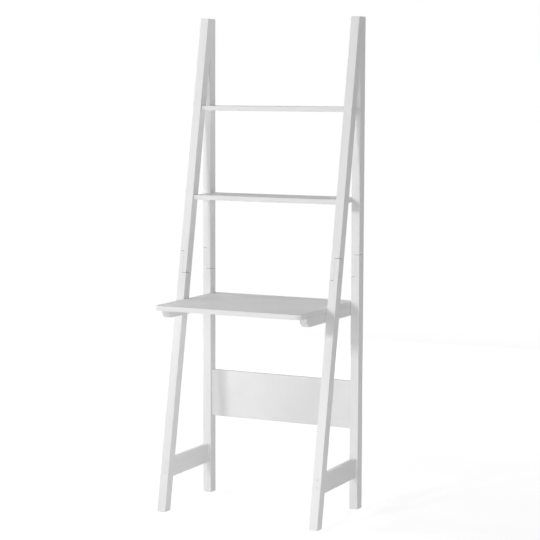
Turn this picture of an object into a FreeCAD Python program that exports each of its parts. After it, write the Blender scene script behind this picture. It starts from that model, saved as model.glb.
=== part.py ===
"""Ladder desk: two A-shaped side frames, a desk board on bearers, two shelves, a back panel.

Millimetres, +Z up, +X to the sitter's right, +Y to the rear. The origin is on the floor, in the
middle of the width and half way between the front edge of the desk board and the rear posts' backs.
"""
import FreeCAD, Part
import math
import os

Vec = FreeCAD.Vector

# ---------------------------------------------------------------- overall sizes
overall_height = 1800.0
overall_width = 645.0          # over the posts, without the screw caps
foot_depth = 396.0             # one side frame on the floor, front of foot to back of foot
top_depth = 56.0               # the same frame at the very top

# ---------------------------------------------------------------- posts
post_width = 33.0              # along X
post_depth = 41.0              # square to the post, front to back
post_edge_radius = 2.0
end_chamfer = 1.0              # round the ends and shoulders of the posts
lap_height = 902.0             # middle of the half-lap that joins the two lengths of each post
lap_length = 80.0
shoulder_gap = 1.0             # end of a tongue to the shoulder it points at
split_gap = 0.3                # between the two tongues of a lap
scribe_gap = 0.3               # bevelled top of the front post to the face of the rear post

# ---------------------------------------------------------------- desk board and its bearers
desk_height = 770.0            # top surface
desk_depth = 471.0
desk_thickness = 18.0
desk_corner_radius = 20.0
bearer_width = 28.0            # along X
bearer_height = 33.0
bearer_setback = 54.0          # front end of a bearer behind the front edge of the board
bearer_nose_radius = 30.0

# ---------------------------------------------------------------- shelves
upper_shelf_height = 1478.0    # top surfaces
lower_shelf_height = 1150.0
shelf_thickness = 18.0
shelf_front_setback = 6.0      # behind the sloping front of the posts, at the shelf's top
board_edge_radius = 1.5

# ---------------------------------------------------------------- back panel and lower side rails
panel_bottom = 299.0
panel_height = 177.0
panel_thickness = 18.0
panel_setback = 10.0           # behind the front of the rear posts
rail_bottom = 118.5
rail_height = 70.0
rail_thickness = 18.0
fit_gap = 0.3                  # end or side of a piece to the post that holds it

# ---------------------------------------------------------------- fasteners
screw_head_diameter = 12.0
screw_head_height = 2.0
screw_shank_diameter = 6.4
screw_bite = 24.0              # length of a screw in the second piece
cap_diameter = 12.0
cap_rise = 1.0                 # height of the cap's dome above the face of the post
cap_depth = 2.0                # of its edge, down to the screw's head
cap_gap = 0.4                  # round the cap and the head, to the counterbore
hole_clearance = 0.2           # on the radius, round everything that sits in a hole
end_clearance = 1.0            # past the tip of everything that sits in a blind hole
rail_screw_spacing = 32.0
panel_screw_inset = 27.0       # from the long edges of the back panel
lap_bolt_spacing = 32.0
lap_bolt_diameter = 6.0
insert_diameter = 9.0          # threaded insert in the inner tongue
insert_length = 12.0
board_screw_inset = 60.0       # from the front end of a bearer and from its side screws
board_screw_diameter = 4.0
board_screw_head_diameter = 8.0
board_screw_head_height = 3.2
board_screw_bite = 12.0
dowel_diameter = 8.0
dowel_length = 28.0
dowel_drop = 50.0              # upper dowel below the top
dowel_spacing = 60.0

# ---------------------------------------------------------------- places that follow from the sizes
back = desk_depth / 2.0
desk_front = -desk_depth / 2.0
foot_front = back - foot_depth
rear_post_front = back - post_depth
side_x = overall_width / 2.0
inner_x = side_x - post_width
lean = math.atan((foot_depth - top_depth) / overall_height)
post_depth_level = post_depth / math.cos(lean)
meeting_height = (foot_depth - post_depth - post_depth_level) / math.tan(lean)   # posts touch above it
along = Vec(0.0, math.sin(lean), math.cos(lean))       # up a front post
into = Vec(0.0, math.cos(lean), -math.sin(lean))       # square to its front face, inwards
upright = Vec(0.0, 0.0, 1.0)
desk_underside = desk_height - desk_thickness
bearer_front = desk_front + bearer_setback
bearer_mid_height = desk_underside - bearer_height / 2.0
panel_front = rear_post_front + panel_setback
panel_mid_y = panel_front + panel_thickness / 2.0
rail_mid_height = rail_bottom + rail_height / 2.0
mid_post_x = side_x - post_width / 2.0
rear_post_mid_y = back - post_depth / 2.0
head_recess = cap_depth + screw_head_height
counterbore_diameter = max(cap_diameter, screw_head_diameter) + 2.0 * cap_gap
cut_margin = 60.0              # how far a cutting tool reaches past what it cuts


# ================================================================ small helpers
def block(x0, x1, y0, y1, z0, z1):
    """A box between two values on each axis."""
    return Part.makeBox(x1 - x0, y1 - y0, z1 - z0, Vec(x0, y0, z0))


def rod(start, direction, diameter, length):
    """A round bar from a point along a direction."""
    return Part.makeCylinder(diameter / 2.0, length, start, direction)


def ease(solid, radius, keep_edge):
    """Round the straight edges of a solid that keep_edge says yes to."""
    edges = [edge for edge in solid.Edges if keep_edge(edge)]
    return solid.makeFillet(radius, edges)


def runs_along(edge, direction):
    """True if a straight edge is parallel to a direction."""
    first, last = edge.Vertexes[0].Point, edge.Vertexes[-1].Point
    span = last - first
    return span.Length > 1e-6 and span.cross(direction).Length < 1e-6 * span.Length


def lies_level(edge, height):
    """True if both ends of an edge are at a height."""
    return all(abs(vertex.Point.z - height) < 1e-6 for vertex in edge.Vertexes)


def front_face_y(height):
    """Y of the sloping front faces at a height."""
    return foot_front + height * math.tan(lean)


def mirrored(solid):
    """The same piece for the other side frame."""
    return solid.mirror(Vec(0.0, 0.0, 0.0), Vec(1.0, 0.0, 0.0))


def drilled(solid, tools):
    """A solid with every tool cut out of it."""
    for tool in tools:
        solid = solid.cut(tool)
    return solid


def group(solids):
    """Several separate solids as one node."""
    return Part.makeCompound(solids)


# ================================================================ fasteners
class Screw:
    """A flat-headed furniture screw in a counterbore, under a plastic cap.

    point is on the face where it goes in, direction points into the wood, through is the
    thickness of the first piece and bite the length in the second.
    """

    def __init__(self, point, direction, through, diameter=screw_shank_diameter, bite=screw_bite):
        self.point = point
        self.direction = direction
        self.diameter = diameter
        self.reach = through + bite

    def at(self, depth):
        """The point on the axis at a depth below the face."""
        return self.point + self.direction * depth

    def body(self):
        """Head and shank."""
        head = rod(self.at(cap_depth), self.direction, screw_head_diameter, screw_head_height)
        shank = rod(self.at(head_recess), self.direction, self.diameter, self.reach - head_recess)
        return head.fuse(shank).removeSplitter()

    def cap(self):
        """A button that fills the counterbore above the head, domed where it stands proud."""
        rim = cap_diameter / 2.0
        dome = (rim ** 2 + cap_rise ** 2) / (2.0 * cap_rise)
        rim_latitude = math.degrees(math.acos(rim / dome))
        outwards = self.direction * -1.0
        button = rod(self.point, self.direction, cap_diameter, cap_depth)
        crown = Part.makeSphere(dome, self.at(dome - cap_rise), outwards, rim_latitude, 90.0, 360.0)
        return button.fuse(crown).removeSplitter()

    def hole(self):
        """Counterbore and blind hole, with their clearances."""
        shaft = self.diameter + 2.0 * hole_clearance
        counterbore = rod(self.point, self.direction, counterbore_diameter, head_recess)
        hole = rod(self.point, self.direction, shaft, self.reach + end_clearance)
        return counterbore.fuse(hole)


def side_screw(y, height):
    """A screw through the right side frame, level, towards the middle."""
    return Screw(Vec(side_x, y, height), Vec(-1.0, 0.0, 0.0), post_width)


def shelf_screws(top_height):
    """One screw through each right-hand post into the end of a shelf."""
    middle = top_height - shelf_thickness / 2.0
    front_y = front_face_y(middle) + post_depth_level / 2.0
    return [side_screw(front_y, middle), side_screw(rear_post_mid_y, middle)]


def bearer_screws():
    """One screw through each right-hand post into the side of the bearer."""
    front_y = front_face_y(bearer_mid_height) + post_depth_level / 2.0
    return [side_screw(front_y, bearer_mid_height), side_screw(rear_post_mid_y, bearer_mid_height)]


def panel_screws():
    """Two screws through the right-hand rear post into the end of the back panel."""
    low = panel_bottom + panel_screw_inset
    high = panel_bottom + panel_height - panel_screw_inset
    return [side_screw(panel_mid_y, low), side_screw(panel_mid_y, high)]


def rail_front_screws():
    """Two screws square to the front of the right-hand front post, into the end of the rail."""
    middle = (rail_mid_height + post_depth * math.sin(lean)) / math.cos(lean)
    screws = []
    for step in (-0.5, 0.5):
        point = Vec(mid_post_x, foot_front, 0.0) + along * (middle + step * rail_screw_spacing)
        screws.append(Screw(point, into, post_depth))
    return screws


def rail_rear_screws():
    """Two screws through the back of the right-hand rear post into the end of the rail."""
    screws = []
    for step in (-0.5, 0.5):
        point = Vec(mid_post_x, back, rail_mid_height + step * rail_screw_spacing)
        screws.append(Screw(point, Vec(0.0, -1.0, 0.0), post_depth))
    return screws


class LapBolt(Screw):
    """A bolt through the outer tongue of a lap into a threaded insert in the inner one."""

    def __init__(self, point):
        tongue = post_width / 2.0
        super().__init__(point, Vec(-1.0, 0.0, 0.0), tongue, lap_bolt_diameter, insert_length)

    def insert(self):
        """The threaded sleeve."""
        start = self.at(post_width / 2.0 + split_gap)
        bore = lap_bolt_diameter + 2.0 * hole_clearance
        sleeve = rod(start, self.direction, insert_diameter, insert_length)
        return sleeve.cut(rod(start, self.direction, bore, insert_length))

    def insert_hole(self):
        """The blind hole for the sleeve, open at the split between the tongues."""
        length = insert_length + split_gap + end_clearance
        return rod(self.at(post_width / 2.0), self.direction, insert_diameter + 2.0 * hole_clearance, length)


def lap_bolts(foot_corner, axis, across):
    """Two bolts on the middle line of the right-hand post that starts at foot_corner."""
    middle_line = foot_corner + across * (post_depth / 2.0)
    rise = (lap_height - middle_line.z) / axis.z
    return [LapBolt(middle_line + axis * (rise + step * lap_bolt_spacing)) for step in (-0.5, 0.5)]


def board_screw(y):
    """A countersunk screw up through the right-hand bearer into the desk board."""
    x = inner_x - fit_gap - bearer_width / 2.0
    start = Vec(x, y, desk_underside - bearer_height)
    narrow = board_screw_diameter / 2.0
    head = Part.makeCone(board_screw_head_diameter / 2.0, narrow, board_screw_head_height, start, upright)
    shank = rod(start, upright, board_screw_diameter, bearer_height + board_screw_bite)
    body = head.fuse(shank).removeSplitter()
    wide_head = board_screw_head_diameter / 2.0 + hole_clearance
    sink = Part.makeCone(wide_head, narrow + hole_clearance, board_screw_head_height, start, upright)
    shaft = rod(start, upright, board_screw_diameter + 2.0 * hole_clearance,
                bearer_height + board_screw_bite + end_clearance)
    return body, sink.fuse(shaft)


def board_screws():
    """Bodies and holes of the three screws up through the right-hand bearer."""
    front_screw, rear_screw = bearer_screws()
    places = (bearer_front + board_screw_inset, front_screw.point.y + board_screw_inset,
              rear_screw.point.y - board_screw_inset)
    return [board_screw(y) for y in places]


def top_dowel(height):
    """A dowel across the joint at the top of the right side frame, with its hole."""
    start = Vec(mid_post_x, rear_post_front - dowel_length / 2.0, height)
    rearwards = Vec(0.0, 1.0, 0.0)
    body = rod(start, rearwards, dowel_diameter, dowel_length)
    wide, deep = dowel_diameter + 2.0 * hole_clearance, dowel_length + 2.0 * end_clearance
    return body, rod(start - rearwards * end_clearance, rearwards, wide, deep)


# ================================================================ posts of the right side frame
def cross_cut(x0, x1, z0, z1):
    """A cutting block that takes the whole depth of a post."""
    return block(x0, x1, -2.0 * desk_depth, 2.0 * desk_depth, z0, z1)


def square_bar(length, sharp_above=None):
    """A post before it is cut, upright, with the front of its foot at the origin of Y and Z.

    Its long edges are eased, but above sharp_above the two front ones stay square, because
    there the front post is glued against them and the joint is sanded flush.
    """
    bar = block(inner_x, side_x, 0.0, post_depth, -cut_margin, length + cut_margin)
    eased = ease(bar, post_edge_radius, lambda edge: runs_along(edge, upright))
    if sharp_above is None:
        return eased
    rear_eased = ease(bar, post_edge_radius,
                      lambda edge: runs_along(edge, upright) and edge.Vertexes[0].Point.y > 0.5 * post_depth)
    lower_part = eased.cut(cross_cut(0.0, 2.0 * side_x, sharp_above, 2.0 * length))
    upper_part = rear_eased.cut(cross_cut(0.0, 2.0 * side_x, -length, sharp_above))
    return lower_part.fuse(upper_part).removeSplitter()


def chamfer_shoulder(solid, height):
    """Chamfer the edges of a shoulder or a tongue's end, but not where the two tongues face each other."""
    edges = [edge for edge in solid.Edges if lies_level(edge, height) and off_the_split(edge)]
    return solid.makeChamfer(end_chamfer, edges)


def off_the_split(edge):
    """True unless an edge lies where the two tongues of a lap face each other."""
    return any(abs(vertex.Point.x - mid_post_x) > split_gap for vertex in edge.Vertexes)


def lap_lengths(bar, middle):
    """Cut a bar into its lower and upper lengths with the half-lap between them.

    The lower length keeps the outer half of the lap, the upper length the inner half.
    """
    low = middle - lap_length / 2.0
    high = middle + lap_length / 2.0
    outside_of_bar = (inner_x - cut_margin, side_x + cut_margin)
    lower = bar.cut(cross_cut(*outside_of_bar, high, 2.0 * overall_height))
    lower = lower.cut(cross_cut(outside_of_bar[0], mid_post_x + split_gap / 2.0, low, 2.0 * overall_height))
    upper = bar.cut(cross_cut(*outside_of_bar, -overall_height, low + shoulder_gap))
    upper = upper.cut(cross_cut(mid_post_x - split_gap / 2.0, outside_of_bar[1],
                               -overall_height, high + shoulder_gap))
    for height in (low, high):
        lower = chamfer_shoulder(lower, height)
        upper = chamfer_shoulder(upper, height + shoulder_gap)
    return lower, upper


def stood_up(solid, foot_y, angle):
    """Lean a bar back by an angle and put the front of its foot at foot_y."""
    placed = solid.copy()
    placed.rotate(Vec(0.0, 0.0, 0.0), Vec(1.0, 0.0, 0.0), -math.degrees(angle))
    placed.translate(Vec(0.0, foot_y, 0.0))
    return placed


def corner_tool(corner, outward, beyond_end, run, length):
    """A three-sided bar that takes the corner off between a side face and the end of a post."""
    size = end_chamfer
    points = [corner - outward * (2.0 * size) + beyond_end * size,
              corner + outward * size - beyond_end * (2.0 * size),
              corner + (outward + beyond_end) * (2.0 * size)]
    return Part.Face(Part.makePolygon(points + points[:1])).extrude(run * length)


def level_end(post, height, beyond_end, side_faces):
    """Cut a post level at a height and take the corners off.

    side_faces holds the Y of each front or rear face there, with the direction it faces.
    """
    past = height + beyond_end.z * 4.0 * cut_margin
    post = post.cut(cross_cut(0.0, 2.0 * side_x, min(height, past), max(height, past)))
    along_x, along_y = Vec(1.0, 0.0, 0.0), Vec(0.0, 1.0, 0.0)
    for y, facing in side_faces:
        corner = Vec(0.0, y, height)
        post = post.cut(corner_tool(corner, along_y * facing, beyond_end, along_x, 2.0 * side_x))
    for x, facing in ((inner_x, -1.0), (side_x, 1.0)):
        corner = Vec(x, -2.0 * desk_depth, height)
        post = post.cut(corner_tool(corner, along_x * facing, beyond_end, along_y, 4.0 * desk_depth))
    return post


def front_post():
    """Lower and upper length of the sloping front post, with its top bevelled to the rear post."""
    length = overall_height / math.cos(lean)
    middle = (lap_height + post_depth / 2.0 * math.sin(lean)) / math.cos(lean)
    lower, upper = [stood_up(part, foot_front, lean) for part in lap_lengths(square_bar(length), middle)]
    behind = block(0.0, 2.0 * side_x, rear_post_front - scribe_gap, 2.0 * desk_depth,
                   0.0, 2.0 * overall_height)
    foot_faces = ((foot_front, -1.0), (foot_front + post_depth_level, 1.0))
    top_faces = ((front_face_y(overall_height), -1.0),)
    lower = level_end(lower, 0.0, upright * -1.0, foot_faces)
    return lower, level_end(upper.cut(behind), overall_height, upright, top_faces)


def rear_post():
    """Lower and upper length of the upright rear post."""
    bar = square_bar(overall_height, sharp_above=meeting_height)
    lower, upper = [stood_up(part, rear_post_front, 0.0) for part in lap_lengths(bar, lap_height)]
    lower = level_end(lower, 0.0, upright * -1.0, ((rear_post_front, -1.0), (back, 1.0)))
    return lower, level_end(upper, overall_height, upright, ((back, 1.0),))


# ================================================================ boards, bearers, panel, rails
def board(half_width, y0, y1, top_height, thickness, corner_radius=0.0):
    """A board with eased edges and, if asked for, rounded front corners."""
    solid = block(-half_width, half_width, y0, y1, top_height - thickness, top_height)
    if corner_radius > 0.0:
        solid = ease(solid, corner_radius,
                     lambda edge: runs_along(edge, upright) and edge.Vertexes[0].Point.y < y0 + 1e-3)
    return ease(solid, board_edge_radius, lambda edge: is_face_edge(edge, top_height, thickness))


def is_face_edge(edge, top_height, thickness):
    """True for the edges that go round the top and the underside of a board."""
    return lies_level(edge, top_height) or lies_level(edge, top_height - thickness)


def desk_board():
    """The desk board, between the side frames and flush with their backs."""
    return board(inner_x - fit_gap, desk_front, back, desk_height, desk_thickness, desk_corner_radius)


def shelf(top_height):
    """A shelf between the side frames, from just behind their front faces to their backs."""
    return board(inner_x - fit_gap, front_face_y(top_height) + shelf_front_setback, back,
                 top_height, shelf_thickness)


def bearer():
    """The right-hand bearer: a square bar under the board with a rounded lower front end."""
    x1 = inner_x - fit_gap
    low = desk_underside - bearer_height
    nose = min(bearer_nose_radius, bearer_height - 2.0 * board_edge_radius)
    centre_y, centre_z = bearer_front + nose, low + nose
    diagonal = nose * math.sqrt(0.5)
    arc_middle = Vec(0.0, centre_y - diagonal, centre_z - diagonal)
    arc = Part.Arc(Vec(0.0, bearer_front, centre_z), arc_middle, Vec(0.0, centre_y, low)).toShape()
    corners = [Vec(0.0, centre_y, low), Vec(0.0, back, low), Vec(0.0, back, desk_underside),
               Vec(0.0, bearer_front, desk_underside), Vec(0.0, bearer_front, centre_z)]
    sides = [Part.makeLine(first, second) for first, second in zip(corners, corners[1:])]
    outline = Part.Wire([arc] + sides)
    solid = Part.Face(outline).extrude(Vec(bearer_width, 0.0, 0.0))
    solid.translate(Vec(x1 - bearer_width, 0.0, 0.0))
    return ease(solid, board_edge_radius, eased_on_bearer)


def eased_on_bearer(edge):
    """True for the outline of either side of a bearer, except at its back end."""
    points = [vertex.Point for vertex in edge.Vertexes]
    on_one_side = all(abs(point.x - points[0].x) < 1e-6 for point in points)
    return on_one_side and any(point.y < back - 1e-3 for point in points)


def back_panel():
    """The upright panel between the rear posts."""
    half = inner_x - fit_gap
    top = panel_bottom + panel_height
    solid = block(-half, half, panel_front, panel_front + panel_thickness, panel_bottom, top)
    return ease(solid, board_edge_radius, lambda edge: runs_along(edge, Vec(1.0, 0.0, 0.0)))


def side_rail():
    """The right-hand rail between the front and the rear post, with its front end cut to the slope."""
    x0 = mid_post_x - rail_thickness / 2.0
    solid = block(x0, x0 + rail_thickness, foot_front, rear_post_front - fit_gap,
                  rail_bottom, rail_bottom + rail_height)
    solid = ease(solid, board_edge_radius, lambda edge: runs_along(edge, Vec(0.0, 1.0, 0.0)))
    post_space = block(x0 - cut_margin, x0 + rail_thickness + cut_margin, -4.0 * cut_margin,
                       post_depth + fit_gap, -cut_margin, overall_height)
    return solid.cut(stood_up(post_space, foot_front, lean))


# ================================================================ assembly
def build():
    """Every node of the desk, by name."""
    front_lower, front_upper = front_post()
    rear_lower, rear_upper = rear_post()
    upper_screws = shelf_screws(upper_shelf_height)
    lower_screws = shelf_screws(lower_shelf_height)
    bearer_set = bearer_screws()
    panel_set = panel_screws()
    rail_front, rail_rear = rail_front_screws(), rail_rear_screws()
    front_bolts = lap_bolts(Vec(side_x, foot_front, 0.0), along, into)
    rear_bolts = lap_bolts(Vec(side_x, rear_post_front, 0.0), upright, Vec(0.0, 1.0, 0.0))
    board_set = board_screws()
    upper_dowel = overall_height - dowel_drop
    dowels = [top_dowel(height) for height in (upper_dowel, upper_dowel - dowel_spacing)]

    front_shelf_holes = [upper_screws[0].hole(), lower_screws[0].hole()]
    rear_shelf_holes = [upper_screws[1].hole(), lower_screws[1].hole()]
    dowel_holes = [hole for body, hole in dowels]
    board_holes = [hole for body, hole in board_set]
    front_lap = [bolt.insert_hole() for bolt in front_bolts]
    rear_lap = [bolt.insert_hole() for bolt in rear_bolts]
    front_bolt_holes = [bolt.hole() for bolt in front_bolts]
    rear_bolt_holes = [bolt.hole() for bolt in rear_bolts]
    rail_holes = [screw.hole() for screw in rail_front + rail_rear]

    sided = {
        "front_post_lower": drilled(front_lower, front_bolt_holes + [bearer_set[0].hole()]
                                    + [screw.hole() for screw in rail_front]),
        "front_post_upper": drilled(front_upper, front_lap + front_shelf_holes + dowel_holes),
        "rear_post_lower": drilled(rear_lower, rear_bolt_holes + [bearer_set[1].hole()]
                                   + [screw.hole() for screw in panel_set + rail_rear]),
        "rear_post_upper": drilled(rear_upper, rear_lap + rear_shelf_holes + dowel_holes),
        "desk_bearer": drilled(bearer(), board_holes + [screw.hole() for screw in bearer_set]),
        "lower_side_rail": drilled(side_rail(), rail_holes),
    }
    nodes = {}
    for name, solid in sided.items():
        nodes["right_" + name] = solid
        nodes["left_" + name] = mirrored(solid)

    def drilled_both_ends(solid, tools):
        return drilled(solid, tools + [mirrored(tool) for tool in tools])

    nodes["desk_board"] = drilled_both_ends(desk_board(), board_holes)
    nodes["upper_shelf"] = drilled_both_ends(shelf(upper_shelf_height), [s.hole() for s in upper_screws])
    nodes["lower_shelf"] = drilled_both_ends(shelf(lower_shelf_height), [s.hole() for s in lower_screws])
    nodes["back_panel"] = drilled_both_ends(back_panel(), [s.hole() for s in panel_set])

    def both_sides(solids):
        return group(solids + [mirrored(solid) for solid in solids])

    capped = {
        "shelf": upper_screws + lower_screws,
        "bearer": bearer_set,
        "panel": panel_set,
        "rail": rail_front + rail_rear,
        "lap": front_bolts + rear_bolts,
    }
    for use, fasteners in capped.items():
        kind = "bolt" if use == "lap" else "screw"
        nodes[use + "_" + kind + "s"] = both_sides([fastener.body() for fastener in fasteners])
        nodes[use + "_" + kind + "_caps"] = both_sides([fastener.cap() for fastener in fasteners])
    nodes["lap_bolt_inserts"] = both_sides([bolt.insert() for bolt in front_bolts + rear_bolts])
    nodes["board_screws"] = both_sides([body for body, hole in board_set])
    nodes["top_joint_dowels"] = both_sides([body for body, hole in dowels])
    return nodes


def main():
    """Write one STEP file per node."""
    os.makedirs("parts", exist_ok=True)
    for name, shape in build().items():
        shape.exportStep("parts/" + name + ".step")
        print(name, len(shape.Solids), round(shape.Volume / 1000.0, 1), "cm3", shape.isValid())


main()
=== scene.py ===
"""Looks of the ladder desk: finishes, screw covers, screw heads, a plain studio and the camera.

Everything is in metres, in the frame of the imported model: +Z up, +Y to the rear, +X to the
sitter's right, the origin on the floor.
"""

import logging
import math
from dataclasses import dataclass
from enum import Enum
from typing import Iterator

import bmesh
import bpy
from mathutils import Matrix, Vector


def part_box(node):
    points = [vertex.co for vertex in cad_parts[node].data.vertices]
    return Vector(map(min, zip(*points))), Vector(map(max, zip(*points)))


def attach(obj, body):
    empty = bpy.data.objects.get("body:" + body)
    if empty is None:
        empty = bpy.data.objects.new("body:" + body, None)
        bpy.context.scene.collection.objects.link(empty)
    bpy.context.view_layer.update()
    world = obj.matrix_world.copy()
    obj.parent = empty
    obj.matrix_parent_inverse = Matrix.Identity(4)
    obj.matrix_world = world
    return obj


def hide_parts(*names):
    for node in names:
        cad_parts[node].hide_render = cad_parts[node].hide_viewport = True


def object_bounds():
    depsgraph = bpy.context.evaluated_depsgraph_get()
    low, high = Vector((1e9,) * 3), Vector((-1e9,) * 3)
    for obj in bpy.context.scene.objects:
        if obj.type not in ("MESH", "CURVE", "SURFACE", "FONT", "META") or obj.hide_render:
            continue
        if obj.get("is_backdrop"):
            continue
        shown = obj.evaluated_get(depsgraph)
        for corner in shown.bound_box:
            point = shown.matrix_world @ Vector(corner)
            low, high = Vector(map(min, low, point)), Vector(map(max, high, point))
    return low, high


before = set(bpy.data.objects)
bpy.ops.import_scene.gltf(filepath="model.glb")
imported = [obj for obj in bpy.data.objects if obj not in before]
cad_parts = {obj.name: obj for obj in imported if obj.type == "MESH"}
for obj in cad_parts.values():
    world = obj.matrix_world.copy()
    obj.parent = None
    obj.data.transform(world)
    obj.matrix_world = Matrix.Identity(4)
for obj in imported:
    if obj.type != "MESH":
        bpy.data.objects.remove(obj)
cad_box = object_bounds()

BODY = "root"
MM = 0.001
WHITE = "#FFFFFF"
MERGE_REACH = 0.001 * MM               # corners nearer than this are one corner
SMOOTH_ANGLE = math.radians(35.0)      # edges that turn more than this stay sharp
DIRECTION_DIGITS = 2                   # decimals to which the normals of one flat face agree
WAVE_PERIOD = math.tau / 20.0          # of a Wave texture whose scale is 1
NOISE_RANGE = (0.3, 0.7)               # a Noise texture's values hardly leave this range
COLOUR_A, COLOUR_B, COLOUR_OUT = 6, 7, 2  # a Mix node's colour sockets, by number

log = logging.getLogger("ladder_desk")

# what an input of a node can be given: a value, or the output that feeds it
Value = float | int | str | tuple[float, ...] | bpy.types.NodeSocket


# ---------------------------------------------------------------- choices with names
class Side(Enum):
    """The two side frames, by the name their nodes start with."""

    RIGHT = "right"
    LEFT = "left"


class Axis(Enum):
    """A direction of the frame, by the name of its output on a Separate XYZ node."""

    X = "X"
    Y = "Y"
    Z = "Z"


class Slot(Enum):
    """The record's material slots, by name."""

    STEEL = "zinc_steel"
    COVER = "cap_plastic"


# ---------------------------------------------------------------- colours and nodes
def linear(colour: str) -> tuple[float, float, float, float]:
    """Turns a written colour into the linear one that shaders take.

    Args:
        colour: an sRGB colour as #RRGGBB.

    Returns:
        Linear red, green and blue, with an alpha of 1.
    """
    parts = [int(colour[i:i + 2], 16) / 255.0 for i in (1, 3, 5)]
    red, green, blue = (
        p / 12.92 if p <= 0.04045 else ((p + 0.055) / 1.055) ** 2.4 for p in parts)
    return red, green, blue, 1.0


def add_node(tree: bpy.types.NodeTree, kind: str, settings: dict[str, object] | None = None,
             inputs: dict[str | int, Value] | None = None) -> bpy.types.Node:
    """Adds a node with its settings, and gives each input a value or a link.

    Args:
        tree: the tree that takes the node.
        kind: the node's type, without the leading ShaderNode.
        settings: option names with their values.
        inputs: input names or numbers, each with a value or the output that feeds it.

    Returns:
        The new node.
    """
    node = tree.nodes.new("ShaderNode" + kind)
    for option, value in (settings or {}).items():
        setattr(node, option, value)
    for key, value in (inputs or {}).items():
        if isinstance(value, bpy.types.NodeSocket):
            tree.links.new(value, node.inputs[key])
        else:
            node.inputs[key].default_value = value
    return node


# ---------------------------------------------------------------- finishes
@dataclass(frozen=True)
class Finish:
    """What all finishes share: a written colour, and a gloss that wanders in soft blotches."""

    colour: str
    roughness: float
    roughness_spread: float
    gloss_size: float

    def start(
            self, name: str,
    ) -> tuple[bpy.types.Material, bpy.types.NodeTree, bpy.types.NodeSocket]:
        """Makes an empty material.

        Args:
            name: what the material is called.

        Returns:
            The material, its node tree and the object's own coordinates in metres.
        """
        material = bpy.data.materials.new(name)
        material.use_nodes = True
        material.node_tree.nodes.clear()
        coordinates = add_node(material.node_tree, "TexCoord")
        return material, material.node_tree, coordinates.outputs["Object"]

    def finish(self, tree: bpy.types.NodeTree, height: bpy.types.NodeSocket,
               **inputs: Value) -> None:
        """Closes a material with its relief and its shader.

        Args:
            tree: the material's node tree.
            height: the relief's heights in metres.
            inputs: shader inputs, written with underscores for spaces.
        """
        bump = add_node(tree, "Bump", inputs={"Height": height, "Strength": 1.0, "Distance": 1.0})
        named = {key.replace("_", " "): value for key, value in inputs.items()}
        shader = add_node(tree, "BsdfPrincipled",
                          inputs={**named, "Normal": bump.outputs["Normal"]})
        add_node(tree, "OutputMaterial", inputs={"Surface": shader.outputs["BSDF"]})

    def mottled(self, tree: bpy.types.NodeTree, place: bpy.types.NodeSocket, size: float,
                low: float, high: float, detail: float = 2.0) -> bpy.types.NodeSocket:
        """Draws soft blotches of a real size.

        Args:
            tree: the material's node tree.
            place: coordinates in metres.
            size: width of a blotch in metres.
            low: value in the darkest blotches.
            high: value in the lightest blotches.
            detail: how many finer layers the blotches have.

        Returns:
            The output with the values.
        """
        noise = add_node(tree, "TexNoise", inputs={
            "Vector": place, "Scale": 1.0 / size, "Detail": detail})
        spread = add_node(tree, "MapRange", inputs={
            "Value": noise.outputs["Fac"], "From Min": NOISE_RANGE[0], "From Max": NOISE_RANGE[1],
            "To Min": low, "To Max": high})
        return spread.outputs["Result"]

    def gloss(self, tree: bpy.types.NodeTree, place: bpy.types.NodeSocket) -> bpy.types.NodeSocket:
        """Lets the roughness wander round its middle value."""
        return self.mottled(tree, place, self.gloss_size, self.roughness - self.roughness_spread,
                            self.roughness + self.roughness_spread)


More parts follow.
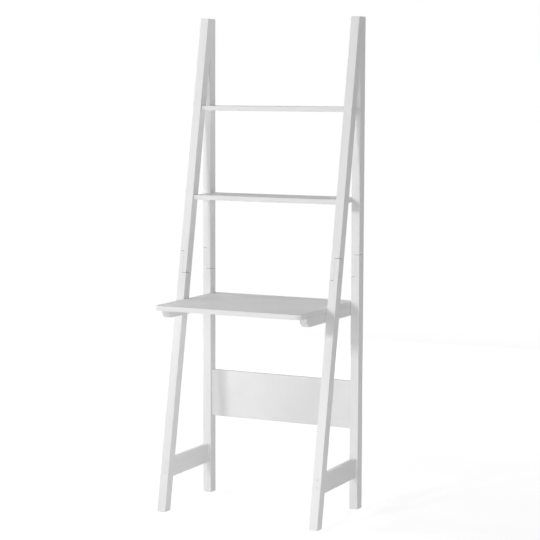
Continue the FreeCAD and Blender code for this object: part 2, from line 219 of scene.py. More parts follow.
@dataclass(frozen=True)
class LacqueredPine(Finish):
    """Solid pine, planed and sanded, sprayed with satin white lacquer.

    To the eye it is an even, slightly soft white. The harder late wood stands a little proud
    under the film, so faint lines of uneven strength run along the piece, and the sprayed film
    has a slight orange peel that breaks up its highlights. End grain drinks the film, so the
    ends are drier and a shade darker. The faces inside the laps are given a dark grey as
    painted shade, so the slit between two tongues draws a fine dark line.
    """

    colour: str = "#EDEDED"
    roughness: float = 0.50
    roughness_spread: float = 0.04
    gloss_size: float = 22.0 * MM
    ior: float = 1.5
    line_colour: str = "#E9E9E8"
    end_colour: str = "#DEDEDC"
    end_dullness: float = 0.15
    # an end starts, and is full, where its normal runs along the grain by these shares
    end_range: tuple[float, float] = (0.4, 0.8)
    # painted shade: a dark grey given to the faces inside the laps, standing in for the shade in
    # the slit
    slit_shade_colour: str = "#8F8B85"
    lap_plane: float = 306.0 * MM       # from the middle of the desk to the faces inside the laps
    lap_reach: float = 0.2 * MM
    lap_facing: float = 0.9             # least share of the normal that looks sideways there
    ring_spacing: float = 5.0 * MM      # growth rings of pine are 2 to 4 mm, drawn wider to show
    ring_height: float = 0.014 * MM
    ring_waver: float = 9.0             # how far the rings stray from round
    waver_detail: float = 2.0
    waver_scale: float = 0.8
    late_share: float = 3.0             # a power that leaves the late wood a thin part of a ring
    patch_size: float = 14.0 * MM       # across the patches in which the lines come and go
    stretch: float = 0.03               # rings wander across the grain 30 times sooner than along
    peel_size: float = 3.0 * MM         # orange peel is about 1.5 mm, drawn wider to show
    peel_height: float = 0.006 * MM

    def material(self, name: str, lean: float, pith: Vector) -> bpy.types.Material:
        """Makes the lacquer for one length of wood.

        Args:
            name: what the material is called.
            lean: angle from upright towards the rear at which the length runs, in radians.
            pith: a point on the line where the middle of the tree was, in metres.

        Returns:
            The material.
        """
        material, tree, place = self.start(name)
        # a mapping of the texture kind turns the pattern first and stretches it after that
        grain = add_node(tree, "Mapping", {"vector_type": "TEXTURE"}, {
            "Vector": place, "Location": tuple(pith), "Rotation": (-lean, 0.0, 0.0),
            "Scale": (1.0, 1.0, 1.0 / self.stretch)}).outputs["Vector"]
        late_wood = self.late_wood(tree, grain)
        end_grain = self.end_grain(tree, lean)
        face = add_node(tree, "Mix", {"data_type": "RGBA"}, {
            0: late_wood, COLOUR_A: linear(self.colour),
            COLOUR_B: linear(self.line_colour)}).outputs[COLOUR_OUT]
        film = add_node(tree, "Mix", {"data_type": "RGBA"}, {
            0: end_grain, COLOUR_A: face,
            COLOUR_B: linear(self.end_colour)}).outputs[COLOUR_OUT]
        # painted shade: the faces inside the laps are coloured dark grey, standing in for the shade
        # in the slit
        paint = add_node(tree, "Mix", {"data_type": "RGBA"}, {
            0: self.slit_shade_faces(tree, place), COLOUR_A: film,
            COLOUR_B: linear(self.slit_shade_colour)}).outputs[COLOUR_OUT]
        peel = self.mottled(tree, place, self.peel_size, 0.0, self.peel_height)
        height = add_node(tree, "Math", {"operation": "MULTIPLY_ADD"}, {
            0: late_wood, 1: self.ring_height, 2: peel}).outputs["Value"]
        dulled = add_node(tree, "Math", {"operation": "MULTIPLY_ADD"}, {
            0: end_grain, 1: self.end_dullness, 2: self.gloss(tree, grain)}).outputs["Value"]
        self.finish(tree, height, Base_Color=paint, Roughness=dulled, IOR=self.ior)
        return material

    def late_wood(self, tree: bpy.types.NodeTree,
                  grain: bpy.types.NodeSocket) -> bpy.types.NodeSocket:
        """Draws the lines of late wood, which come and go along the piece.

        Args:
            tree: the material's node tree.
            grain: coordinates round the heart of the tree, short along the grain.

        Returns:
            The output that is near 1 on the late wood and 0 elsewhere.
        """
        rings = add_node(tree, "TexWave", {"wave_type": "RINGS", "rings_direction": "Z"}, {
            "Vector": grain, "Scale": WAVE_PERIOD / self.ring_spacing,
            "Distortion": self.ring_waver, "Detail": self.waver_detail,
            "Detail Scale": self.waver_scale}).outputs["Fac"]
        lines = add_node(tree, "Math", {"operation": "POWER"}, {
            0: rings, 1: self.late_share}).outputs["Value"]
        patches = self.mottled(tree, grain, self.patch_size, 0.0, 1.0)
        return add_node(tree, "Math", {"operation": "MULTIPLY"}, {
            0: lines, 1: patches}).outputs["Value"]

    def end_grain(self, tree: bpy.types.NodeTree, lean: float) -> bpy.types.NodeSocket:
        """Finds the ends, whose faces look along the wood.

        Args:
            tree: the material's node tree.
            lean: angle from upright towards the rear at which the length runs, in radians.

        Returns:
            The output that is 1 on end grain and 0 on the sides.
        """
        facing = add_node(tree, "VectorMath", {"operation": "DOT_PRODUCT"}, {
            0: add_node(tree, "NewGeometry").outputs["Normal"],
            1: (0.0, math.sin(lean), math.cos(lean))}).outputs["Value"]
        along = add_node(tree, "Math", {"operation": "ABSOLUTE"}, {0: facing}).outputs["Value"]
        return add_node(tree, "MapRange", inputs={
            "Value": along, "From Min": self.end_range[0],
            "From Max": self.end_range[1]}).outputs["Result"]

    def slit_shade_faces(self, tree: bpy.types.NodeTree,
                   place: bpy.types.NodeSocket) -> bpy.types.NodeSocket:
        """Finds the faces inside a lap, which lie in its middle plane and look sideways; they take
        the painted shade of the slit.

        Args:
            tree: the material's node tree.
            place: coordinates in metres.

        Returns:
            The output that is 1 there and 0 on all other faces.
        """
        normal = add_node(tree, "NewGeometry").outputs["Normal"]
        out, sideways = (
            add_node(tree, "Math", {"operation": "ABSOLUTE"}, {
                0: add_node(tree, "SeparateXYZ", inputs={"Vector": vector}).outputs["X"]})
            for vector in (place, normal))
        in_plane = add_node(tree, "Math", {"operation": "COMPARE"}, {
            0: out.outputs["Value"], 1: self.lap_plane, 2: self.lap_reach})
        facing = add_node(tree, "Math", {"operation": "GREATER_THAN"}, {
            0: sideways.outputs["Value"], 1: self.lap_facing})
        return add_node(tree, "Math", {"operation": "MULTIPLY"}, {
            0: in_plane.outputs["Value"], 1: facing.outputs["Value"]}).outputs["Value"]


@dataclass(frozen=True)
class LacqueredFibreboard(Finish):
    """Medium-density fibreboard, sanded, primed and sprayed with satin white lacquer.

    To the eye its faces are smoother and closer than the pine, with a fine stipple. The cut
    edges drink more of the film, so they are a little duller and drier.
    """

    colour: str = "#EDEDED"
    roughness: float = 0.50
    roughness_spread: float = 0.04
    gloss_size: float = 30.0 * MM
    ior: float = 1.5
    cloud_colour: str = "#E9E9E9"
    cloud_size: float = 90.0 * MM
    edge_dullness: float = 0.12
    # a cut edge ends, and a face starts, where the normal looks out of the board by these shares
    face_range: tuple[float, float] = (0.5, 0.85)
    stipple_size: float = 2.6 * MM      # the stipple is about 1 mm, drawn wider to show
    stipple_height: float = 0.005 * MM
    fibre_size: float = 1.2 * MM        # fibre bundles are 0.3 mm, drawn wider to show
    fibre_height: float = 0.012 * MM
    fibre_detail: float = 4.0

    def material(self, name: str, face: Axis) -> bpy.types.Material:
        """Makes the lacquer for a board.

        Args:
            name: what the material is called.
            face: the direction that the board's two large faces look along.

        Returns:
            The material.
        """
        material, tree, place = self.start(name)
        normal = add_node(tree, "NewGeometry").outputs["Normal"]
        facing = add_node(tree, "SeparateXYZ", inputs={"Vector": normal}).outputs[face.value]
        flatness = add_node(tree, "Math", {"operation": "ABSOLUTE"}, {0: facing}).outputs["Value"]
        edge = add_node(tree, "MapRange", inputs={
            "Value": flatness, "From Min": self.face_range[0], "From Max": self.face_range[1],
            "To Min": 1.0, "To Max": 0.0}).outputs["Result"]
        paint = add_node(tree, "Mix", {"data_type": "RGBA"}, {
            0: self.mottled(tree, place, self.cloud_size, 0.0, 1.0),
            COLOUR_A: linear(self.colour),
            COLOUR_B: linear(self.cloud_colour)}).outputs[COLOUR_OUT]
        stipple = self.mottled(tree, place, self.stipple_size, 0.0, self.stipple_height)
        fibres = self.mottled(tree, place, self.fibre_size, 0.0, self.fibre_height,
                              self.fibre_detail)
        height = add_node(tree, "Math", {"operation": "MULTIPLY_ADD"}, {
            0: edge, 1: fibres, 2: stipple}).outputs["Value"]
        dulled = add_node(tree, "Math", {"operation": "MULTIPLY_ADD"}, {
            0: edge, 1: self.edge_dullness, 2: self.gloss(tree, place)}).outputs["Value"]
        self.finish(tree, height, Base_Color=paint, Roughness=dulled, IOR=self.ior)
        return material


@dataclass(frozen=True)
class MouldedPolypropylene(Finish):
    """White polypropylene, injection moulded in a finely eroded tool.

    To the eye it is a cooler, glossier white than the lacquer round it, with a faint sparkle
    from the tool's texture.
    """

    colour: str = "#F0F0F0"
    roughness: float = 0.30
    roughness_spread: float = 0.03
    gloss_size: float = 1.5 * MM
    ior: float = 1.49
    shade_colour: str = "#EAEAEB"
    flow_size: float = 4.0 * MM
    grit_size: float = 0.6 * MM         # spark erosion leaves 0.1 mm pits, drawn wider to show
    grit_height: float = 0.004 * MM

    def material(self, name: str) -> bpy.types.Material:
        """Makes the plastic.

        Args:
            name: what the material is called.

        Returns:
            The material.
        """
        material, tree, place = self.start(name)
        plastic = add_node(tree, "Mix", {"data_type": "RGBA"}, {
            0: self.mottled(tree, place, self.flow_size, 0.0, 1.0),
            COLOUR_A: linear(self.colour),
            COLOUR_B: linear(self.shade_colour)}).outputs[COLOUR_OUT]
        grit = self.mottled(tree, place, self.grit_size, 0.0, self.grit_height)
        self.finish(tree, grit, Base_Color=plastic, Roughness=self.gloss(tree, place),
                    IOR=self.ior)
        return material


@dataclass(frozen=True)
class ZincPlatedSteel(Finish):
    """Cold-headed steel, bright zinc plated and blue passivated.

    To the eye it is a light grey metal with a soft sheen and a faint drift between cold blue
    and straw where the passivation is thicker.
    """

    colour: str = "#C6CAD0"
    roughness: float = 0.34
    roughness_spread: float = 0.08
    gloss_size: float = 1.2 * MM
    straw_colour: str = "#CFCABD"
    drift_size: float = 6.0 * MM
    grain_size: float = 0.5 * MM        # zinc grains are about 0.01 mm, drawn wider to show
    grain_height: float = 0.006 * MM

    def material(self, name: str) -> bpy.types.Material:
        """Makes the plated steel.

        Args:
            name: what the material is called.

        Returns:
            The material.
        """
        material, tree, place = self.start(name)
        plating = add_node(tree, "Mix", {"data_type": "RGBA"}, {
            0: self.mottled(tree, place, self.drift_size, 0.0, 1.0),
            COLOUR_A: linear(self.colour),
            COLOUR_B: linear(self.straw_colour)}).outputs[COLOUR_OUT]
        grains = self.mottled(tree, place, self.grain_size, 0.0, self.grain_height)
        self.finish(tree, grains, Base_Color=plating, Roughness=self.gloss(tree, place),
                    Metallic=1.0)
        return material


@dataclass(frozen=True)
class TurnedBrass(Finish):
    """Free-cutting brass, turned on an automatic lathe.

    To the eye it is a warm yellow metal with fine rings from the tool, square to its axis.
    """

    colour: str = "#D9BC74"
    roughness: float = 0.26
    roughness_spread: float = 0.05
    gloss_size: float = 1.0 * MM
    tarnish_colour: str = "#C8A65C"
    tarnish_size: float = 3.0 * MM
    feed: float = 0.4 * MM              # the tool moves 0.1 mm a turn, drawn wider to show
    groove: float = 0.01 * MM

    def material(self, name: str) -> bpy.types.Material:
        """Makes the brass, turned round an axis along X.

        Args:
            name: what the material is called.

        Returns:
            The material.
        """
        material, tree, place = self.start(name)
        metal = add_node(tree, "Mix", {"data_type": "RGBA"}, {
            0: self.mottled(tree, place, self.tarnish_size, 0.0, 1.0),
            COLOUR_A: linear(self.colour),
            COLOUR_B: linear(self.tarnish_colour)}).outputs[COLOUR_OUT]
        turns = add_node(tree, "TexWave", {"bands_direction": "X"}, {
            "Vector": place, "Scale": WAVE_PERIOD / self.feed}).outputs["Fac"]
        grooves = add_node(tree, "Math", {"operation": "MULTIPLY"}, {
            0: turns, 1: self.groove}).outputs["Value"]
        self.finish(tree, grooves, Base_Color=metal, Roughness=self.gloss(tree, place),
                    Metallic=1.0)
        return material


@dataclass(frozen=True)
class BareBeech(Finish):
    """Steamed beech, turned into dowel rod and left bare.

    To the eye it is a pinkish tan with short darker flecks along the rod and no gloss.
    """

    colour: str = "#D9B48C"
    roughness: float = 0.68
    roughness_spread: float = 0.05
    gloss_size: float = 2.0 * MM
    ior: float = 1.45
    fleck_colour: str = "#B5865C"
    fleck_width: float = 0.5 * MM
    fleck_stretch: float = 0.15         # a fleck is about seven times as long as it is wide
    fleck_share: float = 3.0            # a power that leaves the flecks few and small
    pore_depth: float = 0.05 * MM

    def material(self, name: str) -> bpy.types.Material:
        """Makes the bare wood, with its grain along Y.

        Args:
            name: what the material is called.

        Returns:
            The material.
        """
        material, tree, place = self.start(name)
        grain = add_node(tree, "Mapping", inputs={
            "Vector": place, "Scale": (1.0, self.fleck_stretch, 1.0)}).outputs["Vector"]
        dark = add_node(tree, "Math", {"operation": "POWER"}, {
            0: self.mottled(tree, grain, self.fleck_width, 0.0, 1.0, detail=1.0),
            1: self.fleck_share}).outputs["Value"]
        wood = add_node(tree, "Mix", {"data_type": "RGBA"}, {
            0: dark, COLOUR_A: linear(self.colour),
            COLOUR_B: linear(self.fleck_colour)}).outputs[COLOUR_OUT]
        pores = add_node(tree, "Math", {"operation": "MULTIPLY"}, {
            0: dark, 1: -self.pore_depth}).outputs["Value"]
        self.finish(tree, pores, Base_Color=wood, Roughness=self.gloss(tree, grain),
                    IOR=self.ior)
        return material


# ---------------------------------------------------------------- work that sub-assemblies share
def dress_node(name: str, material: bpy.types.Material) -> bpy.types.Object:
    """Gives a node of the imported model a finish.

    Args:
        name: the node's name.
        material: the finish.

    Returns:
        The node's object.
    """
    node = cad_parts[name]
    for slot in node.material_slots:
        slot.link = "OBJECT"
        slot.material = material
    return node


def solids_of(name: str) -> Iterator[list[bmesh.types.BMFace]]:
    """Splits a copy of a node into its separate solids.

    Args:
        name: the node's name.

    Yields:
        The faces of one solid after the other.
    """
    copy = bmesh.new()
    copy.from_mesh(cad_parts[name].data)
    bmesh.ops.remove_doubles(copy, verts=copy.verts, dist=MERGE_REACH)
    waiting = dict.fromkeys(copy.faces)  # a set's order would change from run to run
    while waiting:
        solid = [waiting.popitem()[0]]
        for face in solid:
            for edge in face.edges:
                for neighbour in edge.link_faces:
                    if neighbour in waiting:
                        del waiting[neighbour]
                        solid.append(neighbour)
        yield solid
    copy.free()


def largest_flat(solid: list[bmesh.types.BMFace]) -> tuple[Vector, Vector]:
    """Finds the largest flat face of a solid.

    Args:
        solid: the solid's faces.

    Returns:
        The middle of that face and the direction it looks in.
    """
    by_direction: dict[tuple[float, ...], list[bmesh.types.BMFace]] = {}
    for face in solid:
        direction = tuple(round(part, DIRECTION_DIGITS) for part in face.normal)
        by_direction.setdefault(direction, []).append(face)
    flat = max(by_direction.values(), key=lambda faces: sum(face.calc_area() for face in faces))
    area = sum(face.calc_area() for face in flat)
    middle = sum((face.calc_center_median() * face.calc_area() for face in flat), Vector()) / area
    return middle, flat[0].normal.copy()


def turned(profile: list[tuple[float, float]], facets: int) -> bmesh.types.BMesh:
    """Spins an outline round Z into a closed solid.

    Args:
        profile: radius and height of each corner, from the axis back to the axis.
        facets: how many flats the full turn has.

    Returns:
        The solid as a new bmesh.
    """
    shape = bmesh.new()
    corners = [shape.verts.new((radius, 0.0, height)) for radius, height in profile]
    line = [shape.edges.new(pair) for pair in zip(corners, corners[1:])]
    bmesh.ops.spin(shape, geom=corners + line, cent=(0.0, 0.0, 0.0), axis=(0.0, 0.0, 1.0),
                   dvec=(0.0, 0.0, 0.0), angle=math.tau, steps=facets, use_merge=True,
                   use_normal_flip=False, use_duplicate=False)
    bmesh.ops.remove_doubles(shape, verts=shape.verts, dist=MERGE_REACH)
    bmesh.ops.recalc_face_normals(shape, faces=shape.faces)
    return shape


def copies(shape: bmesh.types.BMesh, places: list[Matrix]) -> bmesh.types.BMesh:
    """Puts a copy of a shape in every place.

    Args:
        shape: the shape at the origin, looking along +Z.
        places: where each copy goes.

    Returns:
        All the copies in one new bmesh.
    """
    pattern = bpy.data.meshes.new("pattern")
    shape.to_mesh(pattern)
    joined = bmesh.new()
    for place in places:
        before = len(joined.verts)
        joined.from_mesh(pattern)
        joined.verts.ensure_lookup_table()
        bmesh.ops.transform(joined, matrix=place, verts=joined.verts[before:])
    bpy.data.meshes.remove(pattern)
    return joined


def add_piece(name: str, shape: bmesh.types.BMesh, material: bpy.types.Material,
              slot: Slot, node: str) -> bpy.types.Object:
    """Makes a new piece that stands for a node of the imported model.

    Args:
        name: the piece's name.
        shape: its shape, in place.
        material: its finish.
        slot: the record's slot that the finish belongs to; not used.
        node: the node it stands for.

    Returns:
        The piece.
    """
    for face in shape.faces:
        face.smooth = True
    for edge in shape.edges:
        edge.smooth = edge.calc_face_angle(0.0) < SMOOTH_ANGLE
    mesh = bpy.data.meshes.new(name)
    shape.to_mesh(mesh)
    shape.free()
    mesh.materials.append(material)
    piece = bpy.data.objects.new(name, mesh)
    bpy.context.scene.collection.objects.link(piece)
    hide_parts(node)
    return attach(piece, BODY)


# ---------------------------------------------------------------- sub-assemblies
@dataclass
class SideFrame:
    """One A-shaped side frame: a sloping and an upright post in two lengths each, and a rail."""

    side: Side
    lean: float = math.atan(340.0 / 1800.0)  # the sloping post's run to the rear over its height
    rail_run: float = math.pi / 2.0     # the rail's grain runs level, front to back
    pith_distance: float = 62.0 * MM    # sawn well away from the heart of the tree
    pith_turn: float = 1.3              # radians round the grain, from one piece to the next
    left_turn: float = 0.6              # radians more on the left, so that no two pieces match

    def dress(self) -> Iterator[bpy.types.Object]:
        """Lacquers the five pieces, each with grain along its own length.

        Yields:
            Each piece.
        """
        runs = {"front_post_lower": self.lean, "front_post_upper": self.lean,
                "rear_post_lower": 0.0, "rear_post_upper": 0.0, "lower_side_rail": self.rail_run}
        for number, (piece, lean) in enumerate(runs.items()):
            name = f"{self.side.value}_{piece}"
            low, high = (Vector(corner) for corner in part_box(name))
            turn = self.pith_turn * number + (self.left_turn if self.side is Side.LEFT else 0.0)
            across = Vector((math.cos(turn), math.sin(turn) * math.cos(lean),
                             -math.sin(turn) * math.sin(lean)))
            pith = (low + high) / 2.0 + self.pith_distance * across
            lacquer = LacqueredPine().material(f"satin_lacquered_pine_{name}", lean, pith)
            yield dress_node(name, lacquer)


@dataclass
class DeskTop:
    """The desk board on its two bearers, with the screws that come up through them."""

    head_diameter: float = 8.0 * MM
    head_land: float = 0.25 * MM        # straight rim above the countersink
    head_height: float = 3.2 * MM
    shank_diameter: float = 4.0 * MM
    length: float = 45.0 * MM
    point_length: float = 5.0 * MM
    point_share: float = 0.02           # of the shank that is left at the tip
    recess_reach: float = 2.3 * MM      # of each arm of the cross, from the middle
    recess_width: float = 1.1 * MM
    recess_depth: float = 2.2 * MM
    recess_taper: float = 0.45          # size of the cross at its bottom
    last_turn: float = 0.9              # radians from one screw's cross to the next one's
    facets: int = 24

    def dress(self) -> Iterator[bpy.types.Object]:
        """Lacquers the board and the bearers and makes the screws.

        Yields:
            Each piece.
        """
        board = LacqueredFibreboard()
        yield dress_node("desk_board", board.material("satin_lacquered_fibreboard_desk", Axis.Z))
        for side in Side:
            name = side.value + "_desk_bearer"
            yield dress_node(name, board.material("satin_lacquered_fibreboard_" + name, Axis.X))
        yield self.screws()

    def screws(self) -> bpy.types.Object:
        """Makes the countersunk screws, each driven to a turn of its own.

        Returns:
            The piece.
        """
        places = []
        for number, solid in enumerate(solids_of("board_screws")):
            middle, outward = largest_flat(solid)
            upright = outward.to_track_quat("Z", "Y").to_matrix().to_4x4()
            driven = Matrix.Rotation(self.last_turn * number, 4, "Z")
            places.append(Matrix.Translation(middle) @ upright @ driven)
        pattern = self.screw()
        shape = copies(pattern, places)
        pattern.free()
        steel = ZincPlatedSteel().material("bright_zinc_plated_steel_board_screws")
        return add_piece("board_screws_cross_recessed", shape, steel, Slot.STEEL, "board_screws")

    def screw(self) -> bmesh.types.BMesh:
        """Makes one screw, its head's face at the origin, looking along +Z.

        Returns:
            The screw.
        """
        shape = bmesh.new()
        rim = bmesh.ops.create_circle(shape, cap_ends=False, radius=self.head_diameter / 2.0,
                                      segments=self.facets)
        rim_edges = list(dict.fromkeys(edge for vert in rim["verts"] for edge in vert.link_edges))
        self.sink_cross(shape, rim_edges)
        shank = self.shank_diameter / self.head_diameter
        straight = self.length - self.head_height - self.point_length
        stages = ((self.head_land, 1.0), (self.head_height - self.head_land, shank),
                  (straight, 1.0), (self.point_length, self.point_share))
        for drop, narrowing in stages:
            grown = bmesh.ops.extrude_edge_only(shape, edges=rim_edges)["geom"]
            ring = [part for part in grown if isinstance(part, bmesh.types.BMVert)]
            rim_edges = [part for part in grown if isinstance(part, bmesh.types.BMEdge)
                         and all(vert in ring for vert in part.verts)]
            bmesh.ops.scale(shape, vec=(narrowing, narrowing, 1.0), verts=ring)
            bmesh.ops.translate(shape, vec=(0.0, 0.0, -drop), verts=ring)
        bmesh.ops.contextual_create(shape, geom=rim_edges)
        bmesh.ops.recalc_face_normals(shape, faces=shape.faces)
        return shape

    def sink_cross(self, shape: bmesh.types.BMesh, rim_edges: list[bmesh.types.BMEdge]) -> None:
        """Fills the head's face round a cross recess that narrows to its bottom.

        Args:
            shape: the screw, so far only the rim of its head.
            rim_edges: the edges of that rim.
        """
        reach, half = self.recess_reach, self.recess_width / 2.0
        arm = [(reach, -half), (reach, half), (half, half)]
        cross = []
        for quarter in range(4):
            turn = Matrix.Rotation(quarter * math.pi / 2.0, 4, "Z")
            cross += [shape.verts.new(turn @ Vector((x, y, 0.0))) for x, y in arm]
        cross_edges = [shape.edges.new(pair) for pair in zip(cross, cross[1:] + cross[:1])]
        bmesh.ops.triangle_fill(shape, use_beauty=True, edges=rim_edges + cross_edges)
        opening = shape.faces.new(cross)
        sunk = bmesh.ops.extrude_face_region(shape, geom=[opening])["geom"]
        if opening.is_valid:
            shape.faces.remove(opening)
        floor = [part for part in sunk if isinstance(part, bmesh.types.BMVert)]
        bmesh.ops.scale(shape, vec=(self.recess_taper, self.recess_taper, 1.0), verts=floor)
        bmesh.ops.translate(shape, vec=(0.0, 0.0, -self.recess_depth), verts=floor)


@dataclass
class Shelving:
    """The two shelves between the side frames."""

    shelves: tuple[str, ...] = ("upper_shelf", "lower_shelf")

    def dress(self) -> Iterator[bpy.types.Object]:
        """Lacquers the shelves.

        Yields:
            Each piece.
        """
        board = LacqueredFibreboard()
        for name in self.shelves:
            yield dress_node(name, board.material("satin_lacquered_fibreboard_" + name, Axis.Z))


@dataclass
class BackPanel:
    """The upright panel between the rear posts, below the desk."""

    def dress(self) -> Iterator[bpy.types.Object]:
        """Lacquers the panel."""
        board = LacqueredFibreboard()
        yield dress_node("back_panel", board.material("satin_lacquered_fibreboard_panel", Axis.Y))


@dataclass
class ScrewCovers:
    """Snap-in covers over the screw and bolt heads, one piece for each use."""

    uses: tuple[str, ...] = ("shelf_screw", "bearer_screw", "panel_screw", "rail_screw", "lap_bolt")
    radius: float = 5.8 * MM
    skirt: float = 2.0 * MM             # from its seat to the face of the post
    rise: float = 1.0 * MM              # of the middle above the face of the post
    rim_rise: float = 0.7 * MM          # of the flat rim
    rim_width: float = 1.0 * MM
    rim_round: float = 0.25 * MM
    rim_steps: int = 4
    rim_step_down: float = 0.06 * MM    # from the rim to where the dome starts
    dome_shares: tuple[float, ...] = (0.94, 0.84, 0.7, 0.5, 0.3)  # of the dome's radius
    gate_radius: float = 0.6 * MM       # the moulding gate leaves a shallow dimple
    gate_depth: float = 0.08 * MM
    gate_floor_share: float = 0.7       # of the dimple's radius
    facets: int = 40

    def dress(self) -> Iterator[bpy.types.Object]:
        """Makes the covers and colours them.

        Yields:
            Each piece.
        """
        plastic = MouldedPolypropylene().material("moulded_white_polypropylene")
        pattern = turned(self.profile(), self.facets)
        for use in self.uses:
            places = []
            for solid in solids_of(use + "_caps"):
                seat, inward = largest_flat(solid)
                outward = (-inward).to_track_quat("Z", "Y").to_matrix().to_4x4()
                places.append(Matrix.Translation(seat) @ outward)
            shape = copies(pattern, places)
            yield add_piece(use + "_covers", shape, plastic, Slot.COVER, use + "_caps")
        pattern.free()

    def profile(self) -> list[tuple[float, float]]:
        """Draws half of a cover, from the middle of its seat to the middle of its top.

        Returns:
            Radius and height of each corner.
        """
        edge = self.rim_round
        rim_top = self.skirt + self.rim_rise
        corners = [(0.0, 0.0), (self.radius - edge, 0.0), (self.radius, edge)]
        for step in range(self.rim_steps + 1):
            angle = step / self.rim_steps * math.pi / 2.0
            corners.append((self.radius - edge + edge * math.cos(angle),
                            rim_top - edge + edge * math.sin(angle)))
        inner = self.radius - self.rim_width
        dome_start = rim_top - self.rim_step_down
        dome_rise = self.rise - self.rim_rise + self.rim_step_down
        corners.append((inner, dome_start))
        for share in self.dome_shares:
            corners.append((inner * share, dome_start + dome_rise * (1.0 - share ** 2)))
        top = self.skirt + self.rise
        corners.append((self.gate_radius, top))
        corners.append((self.gate_radius * self.gate_floor_share, top - self.gate_depth))
        corners.append((0.0, top - self.gate_depth))
        return corners


@dataclass
class Hardware:
    """Screws, bolts, inserts and dowels that other pieces hide."""

    steel_nodes: tuple[str, ...] = (
        "shelf_screws", "bearer_screws", "panel_screws", "rail_screws", "lap_bolts")

    def dress(self) -> Iterator[bpy.types.Object]:
        """Gives each of them its metal or wood.

        Yields:
            Each piece.
        """
        steel = ZincPlatedSteel().material("bright_zinc_plated_steel")
        for name in self.steel_nodes:
            yield dress_node(name, steel)
        yield dress_node("lap_bolt_inserts", TurnedBrass().material("turned_brass"))
        yield dress_node("top_joint_dowels", BareBeech().material("bare_turned_beech"))


# ---------------------------------------------------------------- studio and camera
@dataclass(frozen=True)
class Softbox:
    """A lamp behind a sheet of diffuser."""

    name: str
    place: tuple[float, float, float]
    aim: tuple[float, float, float]
    width: float
    height: float
    power: float                        # watts
    roll: float = 0.0                   # turn round its own axis, in radians

    def build(self) -> None:
        """Makes the lamp, looking at its aim."""
        lamp = bpy.data.lights.new(self.name, "AREA")
        lamp.shape = "RECTANGLE"
        lamp.size, lamp.size_y, lamp.energy = self.width, self.height, self.power
        box = bpy.data.objects.new(self.name, lamp)
        box.location = self.place
        level = (Vector(self.aim) - Vector(self.place)).to_track_quat("-Z", "Y").to_matrix()
        box.rotation_euler = (level @ Matrix.Rotation(self.roll, 3, "Z")).to_euler()
        box.visible_camera = False
        bpy.context.scene.collection.objects.link(box)


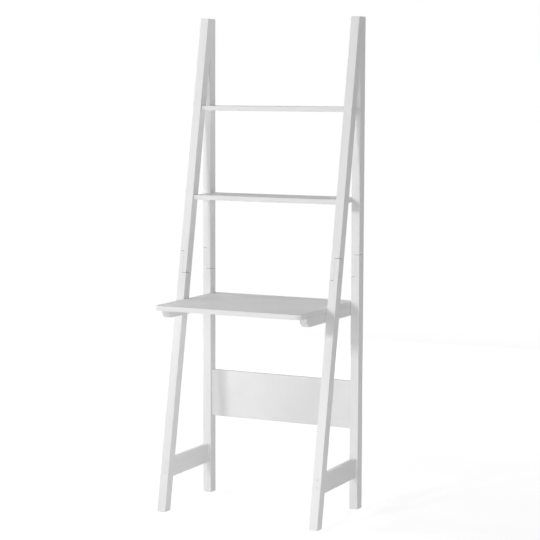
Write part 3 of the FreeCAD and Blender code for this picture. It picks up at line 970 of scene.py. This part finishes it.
@dataclass
class Studio:
    """A pale floor in a white room, a narrow softbox in front on the left and others to fill."""

    # each has its name, place, aim, width, height and watts, and a roll where it is turned
    softboxes: tuple[Softbox, ...] = (
        Softbox("key", (-1.165, -3.7, 2.07), (0.0, 0.0, 1.6), 0.6, 0.12, 46.2,
                math.radians(-41.3)),
        Softbox("left_fill", (-5.0, -3.4, 1.3), (0.0, 0.0, 0.9), 2.4, 2.0, 69.0),
        Softbox("right_fill", (4.2, -4.6, 1.5), (0.0, 0.0, 0.9), 2.4, 2.0, 67.0),
        Softbox("right_front", (4.6, -2.8, 1.0), (0.0, 0.0, 0.8), 2.4, 1.6, 20.0),
        Softbox("right_side", (3.4, 1.4, 1.0), (0.0, 0.0, 0.9), 1.6, 1.6, 9.6),
        Softbox("rear_fill", (-0.2, 4.2, 1.3), (0.0, 0.0, 1.0), 0.7, 0.7, 70.0),
        Softbox("left_side", (-2.4, -0.9, 1.8), (-0.2, -0.1, 0.77), 0.8, 0.8, 15.8),
        Softbox("left_rear", (-1.6, 0.4, 1.6), (-0.2, -0.1, 0.77), 0.5, 0.5, 6.1),
        Softbox("overhead", (0.0, 0.19, 2.05), (0.0, 0.19, 0.0), 0.75, 0.12, 0.5),
        Softbox("low_kicker", (0.55, -0.9, 0.15), (-0.3, 0.1, 0.4), 0.5, 0.2, 1.4))
    floor_half_width: float = 60.0
    floor_colour: str = "#E6E6E6"
    floor_glow: float = 1.56            # brings the floor to white where it is looked at
    far_floor_glow: float = 1.94        # further out, where the lamps hardly reach it
    floor_glow_reach: tuple[float, float] = (1.5, 5.5)
    floor_glow_share: float = 0.5
    room_white: float = 1.0             # as seen, also in glossy and clear surfaces
    room_light: float = 0.108           # as it lights matt surfaces

    def build(self) -> None:
        """Makes the room, the lamps and the floor."""
        self.room()
        for softbox in self.softboxes:
            softbox.build()
        self.floor()

    def seen(self, tree: bpy.types.NodeTree) -> bpy.types.NodeSocket:
        """Tells looking from lighting.

        Args:
            tree: the tree that takes the nodes.

        Returns:
            The output that is 1 for camera, glossy and transmission rays, and 0 for others.
        """
        path = add_node(tree, "LightPath").outputs
        first = add_node(tree, "Math", {"operation": "MAXIMUM"}, {
            0: path["Is Camera Ray"], 1: path["Is Glossy Ray"]}).outputs["Value"]
        return add_node(tree, "Math", {"operation": "MAXIMUM"}, {
            0: first, 1: path["Is Transmission Ray"]}).outputs["Value"]

    def room(self) -> None:
        """Makes the world: white where it is seen, and dimmer where it lights."""
        world = bpy.data.worlds.new("white_room")
        world.use_nodes = True
        tree = world.node_tree
        tree.nodes.clear()
        light = add_node(tree, "Background", inputs={
            "Color": linear(WHITE), "Strength": self.room_light})
        white = add_node(tree, "Background", inputs={
            "Color": linear(WHITE), "Strength": self.room_white})
        both = add_node(tree, "MixShader", inputs={
            0: self.seen(tree), 1: light.outputs["Background"], 2: white.outputs["Background"]})
        add_node(tree, "OutputWorld", inputs={"Surface": both.outputs["Shader"]})
        bpy.context.scene.world = world

    def floor(self) -> None:
        """Makes the floor and marks it as the stage."""
        shape = bmesh.new()
        bmesh.ops.create_grid(shape, x_segments=1, y_segments=1, size=self.floor_half_width)
        mesh = bpy.data.meshes.new("studio_floor")
        shape.to_mesh(mesh)
        shape.free()
        mesh.materials.append(self.floor_paint())
        floor = bpy.data.objects.new("studio_floor", mesh)
        bpy.context.scene.collection.objects.link(floor)
        floor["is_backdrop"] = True

    def floor_paint(self) -> bpy.types.Material:
        """Makes matt paint that glows a little where it is seen but keeps the desk's shadow.

        Returns:
            The material.
        """
        material = bpy.data.materials.new("pale_studio_floor")
        material.use_nodes = True
        tree = material.node_tree
        tree.nodes.clear()
        share = add_node(tree, "Math", {"operation": "MULTIPLY"}, {
            0: self.seen(tree), 1: self.floor_glow_share})
        matt = add_node(tree, "BsdfDiffuse", inputs={"Color": linear(self.floor_colour)})
        away = add_node(tree, "VectorMath", {"operation": "LENGTH"}, {
            0: add_node(tree, "TexCoord").outputs["Object"]}).outputs["Value"]
        near, far = self.floor_glow_reach
        strength = add_node(tree, "MapRange", inputs={
            "Value": away, "From Min": near, "From Max": far,
            "To Min": self.floor_glow, "To Max": self.far_floor_glow}).outputs["Result"]
        glow = add_node(tree, "Emission", inputs={"Color": linear(WHITE), "Strength": strength})
        both = add_node(tree, "MixShader", inputs={
            0: share.outputs["Value"], 1: matt.outputs["BSDF"], 2: glow.outputs["Emission"]})
        add_node(tree, "OutputMaterial", inputs={"Surface": both.outputs["Shader"]})
        return material


@dataclass
class Viewpoint:
    """The camera: in front of the desk and right of it, at eye level, looking slightly down."""

    place: tuple[float, float, float] = (2.8235, -5.6195, 1.5542)
    turn: float = math.radians(26.210)  # from straight back, towards the left
    tilt: float = math.radians(-6.026)
    roll: float = math.radians(0.165)
    lens: float = 116.695               # mm
    sensor_width: float = 36.0          # mm
    clip: tuple[float, float] = (0.1, 200.0)

    def build(self) -> None:
        """Makes the camera and looks through it."""
        ahead_level = Vector((-math.sin(self.turn), math.cos(self.turn), 0.0))
        right_level = Vector((math.cos(self.turn), math.sin(self.turn), 0.0))
        ahead = ahead_level * math.cos(self.tilt) + Vector((0.0, 0.0, math.sin(self.tilt)))
        up_level = Vector((0.0, 0.0, math.cos(self.tilt))) - ahead_level * math.sin(self.tilt)
        right = right_level * math.cos(self.roll) + up_level * math.sin(self.roll)
        up = up_level * math.cos(self.roll) - right_level * math.sin(self.roll)
        data = bpy.data.cameras.new("viewpoint")
        data.lens, data.sensor_width = self.lens, self.sensor_width
        data.clip_start, data.clip_end = self.clip
        camera = bpy.data.objects.new("viewpoint", data)
        turned_axes = Matrix((right, up, -ahead)).transposed().to_4x4()
        camera.matrix_world = Matrix.Translation(self.place) @ turned_axes
        bpy.context.scene.collection.objects.link(camera)
        bpy.context.scene.camera = camera


def save_sizes() -> None:
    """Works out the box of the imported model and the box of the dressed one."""
    boxes = {"cad": cad_box, "visual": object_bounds()}
    {name: [list(corner) for corner in box] for name, box in boxes.items()}


def main() -> None:
    """Dresses every sub-assembly, then sets up the studio and the camera."""
    logging.basicConfig(level=logging.INFO, format="%(message)s")
    bpy.context.scene.view_settings.view_transform = "Standard"
    for assembly in (SideFrame(Side.RIGHT), SideFrame(Side.LEFT), DeskTop(), Shelving(),
                     BackPanel(), ScrewCovers(), Hardware()):
        for piece in assembly.dress():
            log.info("%s: %s, %d faces", type(assembly).__name__, piece.name,
                     len(piece.data.polygons))
    Studio().build()
    Viewpoint().build()
    save_sizes()


if __name__ == "__main__":
    main()
